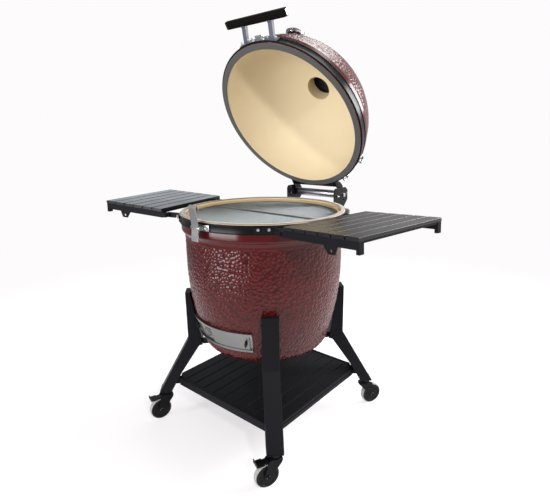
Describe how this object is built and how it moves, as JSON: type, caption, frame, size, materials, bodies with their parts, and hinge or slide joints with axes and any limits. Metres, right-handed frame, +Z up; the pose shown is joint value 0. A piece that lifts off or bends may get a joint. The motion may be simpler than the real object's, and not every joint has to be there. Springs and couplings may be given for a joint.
{
  "type": "kamado ceramic grill",
  "caption": "Egg-shaped red glazed ceramic charcoal grill with a lifting domed lid, side shelves and a slatted cart on swivel casters.",
  "frame": {"origin": "on the floor, under the vertical axis of the ceramic bowl", "axes": "+Z up; the front of the grill, with its latch and draft doors, faces -Y; +X is on the right when looking at the front"},
  "size_m": [1.3277, 0.8438, 1.5667],
  "materials": {
    "glazed_ceramic": "gloss red glaze",
    "fire_clay": "unglazed tan",
    "felt": "woven felt",
    "black_steel": "satin black",
    "bright_steel": "bright",
    "stainless": "brushed",
    "cast_iron": "as cast",
    "cast_black": "textured black",
    "aluminium": "turned",
    "dark_wood": "dark stained",
    "grey_steel": "satin grey",
    "knob_plastic": "moulded black",
    "chrome": "polished",
    "glass": "clear",
    "rubber": "matt black",
    "cart_steel": "dark grey powder coat",
    "charcoal_steel": "charcoal powder coat",
    "fork_steel": "gloss black",
    "wheel_rubber": "grey",
    "pedal_plastic": "moulded black"
  },
  "bodies": {
    "cart": {"bowl": "glazed_ceramic", "bowl_gasket": "felt", "bowl_band": "black_steel", "band_fasteners": "bright_steel", "fire_box": "fire_clay", "fire_ring": "fire_clay", "charcoal_grate": "cast_iron", "cooking_grate_front": "stainless", "cooking_grate_back": "stainless", "leg_front_right": "cart_steel", "leg_front_left": "cart_steel", "leg_back_right": "cart_steel", "leg_back_left": "cart_steel", "leg_pads": "rubber", "bowl_cradle": "cart_steel", "tray_frame": "cart_steel", "tray_slats": "charcoal_steel", "cart_bolts": "bright_steel", "caster_mounts": "cart_steel", "draft_frame": "stainless", "draft_screws": "bright_steel", "hinge_lower_bracket": "black_steel", "hinge_pin": "bright_steel", "hinge_barrel": "aluminium", "latch_base": "bright_steel", "shelf_brackets_right": "charcoal_steel", "shelf_brackets_left": "charcoal_steel"},
    "solid_door": {"draft_door_solid": "stainless", "draft_knob_solid": "knob_plastic"},
    "slotted_door": {"draft_door_slotted": "stainless", "draft_knob_slotted": "knob_plastic"},
    "latch": {"latch_hook": "bright_steel"},
    "lid": {"lid_dome": "glazed_ceramic", "lid_gasket": "felt", "lid_band": "black_steel", "lid_fasteners": "bright_steel", "hinge_upper_bracket": "black_steel", "handle_bar": "dark_wood", "handle_caps": "bright_steel", "handle_posts": "grey_steel", "thermometer_case": "chrome", "thermometer_glass": "glass", "latch_strike": "bright_steel", "vent_base": "cast_black"},
    "vent_cap": {"vent_cap": "cast_black"},
    "shelf_right": {"shelf_slats_right": "charcoal_steel", "shelf_frame_right": "charcoal_steel"},
    "shelf_left": {"shelf_slats_left": "charcoal_steel", "shelf_frame_left": "charcoal_steel"},
    "caster_front_right": {"caster_fork_front_right": "fork_steel"},
    "wheel_front_right": {"wheel_front_right": "wheel_rubber"},
    "caster_front_left": {"caster_fork_front_left": "fork_steel"},
    "wheel_front_left": {"wheel_front_left": "wheel_rubber"},
    "caster_back_right": {"caster_fork_back_right": "fork_steel"},
    "wheel_back_right": {"wheel_back_right": "wheel_rubber"},
    "caster_back_left": {"caster_fork_back_left": "fork_steel"},
    "wheel_back_left": {"wheel_back_left": "wheel_rubber"},
    "pedal_front_right": {"brake_pedal_front_right": "pedal_plastic"},
    "pedal_front_left": {"brake_pedal_front_left": "pedal_plastic"}
  },
  "joints": [
    {"name": "lid_hinge", "type": "hinge", "parent": "cart", "child": "lid", "pos_m": [0, 0.375, 0.906], "axis": [1, 0, 0], "range_deg": [0, 56.6]},
    {"name": "vent_turn", "type": "hinge", "parent": "lid", "child": "vent_cap", "pos_m": [0, 0.41819, 1.38366], "axis": [0, 0.8348, 0.5505], "range_deg": [0, 36]},
    {"name": "latch_tilt", "type": "hinge", "parent": "cart", "child": "latch", "pos_m": [0, -0.335, 0.866], "axis": [1, 0, 0], "range_deg": [-8, 13]},
    {"name": "solid_door_slide", "type": "hinge", "parent": "cart", "child": "solid_door", "pos_m": [0, 0, 0.449], "axis": [0, 0, 1], "range_deg": [-24, 0]},
    {"name": "slotted_door_slide", "type": "hinge", "parent": "cart", "child": "slotted_door", "pos_m": [0, 0, 0.449], "axis": [0, 0, 1], "range_deg": [0, 24]},
    {"name": "shelf_right_fold", "type": "hinge", "parent": "cart", "child": "shelf_right", "pos_m": [0.32153, -0.05381, 0.868], "axis": [0.165, 0.9863, 0], "range_deg": [0, 88]},
    {"name": "shelf_left_fold", "type": "hinge", "parent": "cart", "child": "shelf_left", "pos_m": [-0.31827, -0.07056, 0.868], "axis": [0.2164, -0.9763, 0], "range_deg": [0, 88]},
    {"name": "swivel_front_right", "type": "hinge", "parent": "cart", "child": "caster_front_right", "pos_m": [0.30264, -0.30264, 0.1], "axis": [0, 0, 1], "continuous": true},
    {"name": "roll_front_right", "type": "hinge", "parent": "caster_front_right", "child": "wheel_front_right", "pos_m": [0.28922, -0.33279, 0.045], "axis": [0.9135, -0.4067, 0], "continuous": true},
    {"name": "swivel_front_left", "type": "hinge", "parent": "cart", "child": "caster_front_left", "pos_m": [-0.30264, -0.30264, 0.1], "axis": [0, 0, 1], "continuous": true},
    {"name": "roll_front_left", "type": "hinge", "parent": "caster_front_left", "child": "wheel_front_left", "pos_m": [-0.31229, -0.3342, 0.045], "axis": [0.9563, -0.2924, 0], "continuous": true},
    {"name": "swivel_back_right", "type": "hinge", "parent": "cart", "child": "caster_back_right", "pos_m": [0.30264, 0.30264, 0.1], "axis": [0, 0, 1], "continuous": true},
    {"name": "roll_back_right", "type": "hinge", "parent": "caster_back_right", "child": "wheel_back_right", "pos_m": [0.31813, 0.33178, 0.045], "axis": [-0.8829, 0.4695, 0], "continuous": true},
    {"name": "swivel_back_left", "type": "hinge", "parent": "cart", "child": "caster_back_left", "pos_m": [-0.30264, 0.30264, 0.1], "axis": [0, 0, 1], "continuous": true},
    {"name": "roll_back_left", "type": "hinge", "parent": "caster_back_left", "child": "wheel_back_left", "pos_m": [-0.31813, 0.33178, 0.045], "axis": [-0.8829, -0.4695, 0], "continuous": true},
    {"name": "brake_front_right", "type": "hinge", "parent": "caster_front_right", "child": "pedal_front_right", "pos_m": [0.29451, -0.32091, 0.098], "axis": [0.9135, -0.4067, 0], "range_deg": [0, 10]},
    {"name": "brake_front_left", "type": "hinge", "parent": "caster_front_left", "child": "pedal_front_left", "pos_m": [-0.30849, -0.32177, 0.098], "axis": [0.9563, -0.2924, 0], "range_deg": [0, 10]}
  ]
}
